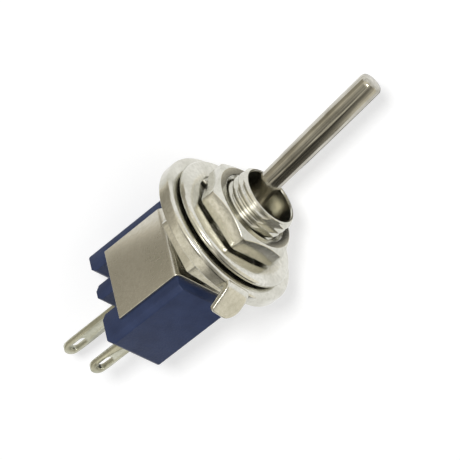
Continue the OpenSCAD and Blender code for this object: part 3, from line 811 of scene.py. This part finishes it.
over_lever = grading((20, 0.9), (30, 0.6), (48, 0.4), (58, 0.22), (64, 0.42), (70, 0.3), (76, 0.2),
                     (84, 0.14), (88, 0.7), (94, 0.75), (100, 0.14), (108, 0.05), (116, 0.02),
                     (124, 0.12), (132, 0.03), (150, 0.02), (180, 0.04))
over_case = grading((20, 1.0), (60, 1.0), (75, 0.8), (95, 1.0), (105, 0.55), (115, 0.25), (130, 0.35),
                    (150, 0.75), (180, 0.9))
over_tip = grading((20, 1.0), (50, 0.95), (70, 0.85), (90, 0.6), (100, 0.3), (110, 0.3), (130, 0.6),
                   (150, 0.95), (180, 1.0))
run = np.array([-0.60, -0.40, -0.20, -0.135, -0.120, -0.09, -0.055, -0.03, 0.10, 0.45])
across = np.cos(arch)[None, :, None] * np.array(leftwards) + np.sin(arch)[None, :, None] * np.array(table_up)
tunnel = tunnel_r * across + run[:, None, None] * np.array(along_lever)
tunnel_glow = np.stack([over_case] * 4 + [over_lever] * 3 + [over_tip] * 3)
graded_card("card_arch", tunnel, tunnel_glow, WARM_TINT)

# %% [markdown]
# The second card is a strip that lies on the table beside the lever. The lever's lower side sees it in
# place of the white table, which gives the lever its dark edge there. `on_table` finds where it has to
# lie: where the camera's line past a point of the lever comes down on the table.

# %% The strip beside the lever
card_lift = 0.2


def on_table(point):
    """Where the line from the camera through a point meets the table, lifted by card_lift."""
    gap = (point - touch).dot(table_up) - card_lift * MM
    return point - back * (gap / back.dot(table_up))


root = on_table(Vector((-1.2, 0, mouth_z + 2.5)) * MM)
tip = on_table(Vector((-2.8, 0, 18)) * MM)
beside = (tip - root).normalized()
outward = beside.cross(table_up)
if outward.dot(right) < 0:
    outward.negate()
offsets = np.array([-3.4, -2.0, -0.8, 1.0, 4.0, 5.6]) * MM
strip = np.array([[end + outward * o for o in offsets] for end in (root, tip)])
strip_glow = np.broadcast_to([1.0, 0.35, 0.15, 0.04, 0.04, 1.0], strip.shape[:2])
graded_card("card_beside_lever", strip, strip_glow, WARM_TINT)

# %% [markdown]
# The third card stands on the far side of the case: a stretch of floor and then a low wall, in a
# brownish white that is dimmed. The bracket's flat plate and the lower nut look that way, and take their
# tone from it. `reach` is its section, as distance along the table and height above it.

# %% The card beyond the bracket
low_left = Vector((-back.x, back.y, -back.z))
low_left = (low_left - table_up * low_left.dot(table_up)).normalized()
sideways = low_left.cross(table_up)
screen_half = 60
reach = np.array([[13, 0.2], [17, 0.2], [30, 0.2], [60, 0.2], [62, 18], [62, 34], [62, 42]])
base = np.array(on_table(Vector((0, 0, -5)) * MM))
screen = np.array([[base + MM * (d * np.array(low_left) + h * np.array(table_up) + w * np.array(sideways))
                    for d, h in reach] for w in (-screen_half, screen_half)])
screen_glow = np.broadcast_to([1.0, 0.42, 0.36, 0.38, 0.45, 0.55, 1.0], screen.shape[:2])
graded_card("card_left", screen, screen_glow, BROWN_TINT)

# %% [markdown]
# The light itself is plain. One small lamp stands close to the camera's line of sight, so that the shadow
# falls mostly behind the switch, and a weak wider one fills it. Their sizes and places are in metres.

# %% Lamps


def lamp(name, towards, far, size, power):
    """A square area lamp at a direction from the switch, facing it."""
    data = bpy.data.lights.new(name, "AREA")
    data.size = size
    data.energy = power
    piece = bpy.data.objects.new(name, data)
    bpy.context.scene.collection.objects.link(piece)
    way = towards.normalized()
    piece.location = way * far
    piece.rotation_mode = "QUATERNION"
    piece.rotation_quaternion = way.to_track_quat("Z", "Y")
    print(f"{name}: {power} W, {size} m wide, {far} m away")


lamp("key", back * 1.0 + up * 0.10 - right * 0.15, 0.4, 0.07, 0.85)
lamp("fill", back * 0.8 + right * 0.5 - up * 0.3, 0.4, 0.3, 0.2)

# %% [markdown]
# The world is white where it is looked at, so the picture's ground and the reflections are white. For the
# rays that gather light it is dimmer, or its even light would wash the shading out. The colours are shown
# by the Standard transform, which keeps this white as white.

# %% The white world
world_light, world_shown = 0.38, 1.0
world = bpy.data.worlds.new("studio")
bpy.context.scene.world = world
world.use_nodes = True
world.node_tree.nodes["Background"].inputs["Color"].default_value = (1, 1, 1, 1)
tree = world.node_tree
shown = looking_ray(tree, tree.nodes.new("ShaderNodeLightPath"))
world_strength = spread(tree, shown, world_light, world_shown)
tree.links.new(world_strength, tree.nodes["Background"].inputs["Strength"])
bpy.context.scene.view_settings.view_transform = "Standard"
print(f"world: {world_shown} where it is seen, {world_light} as light")
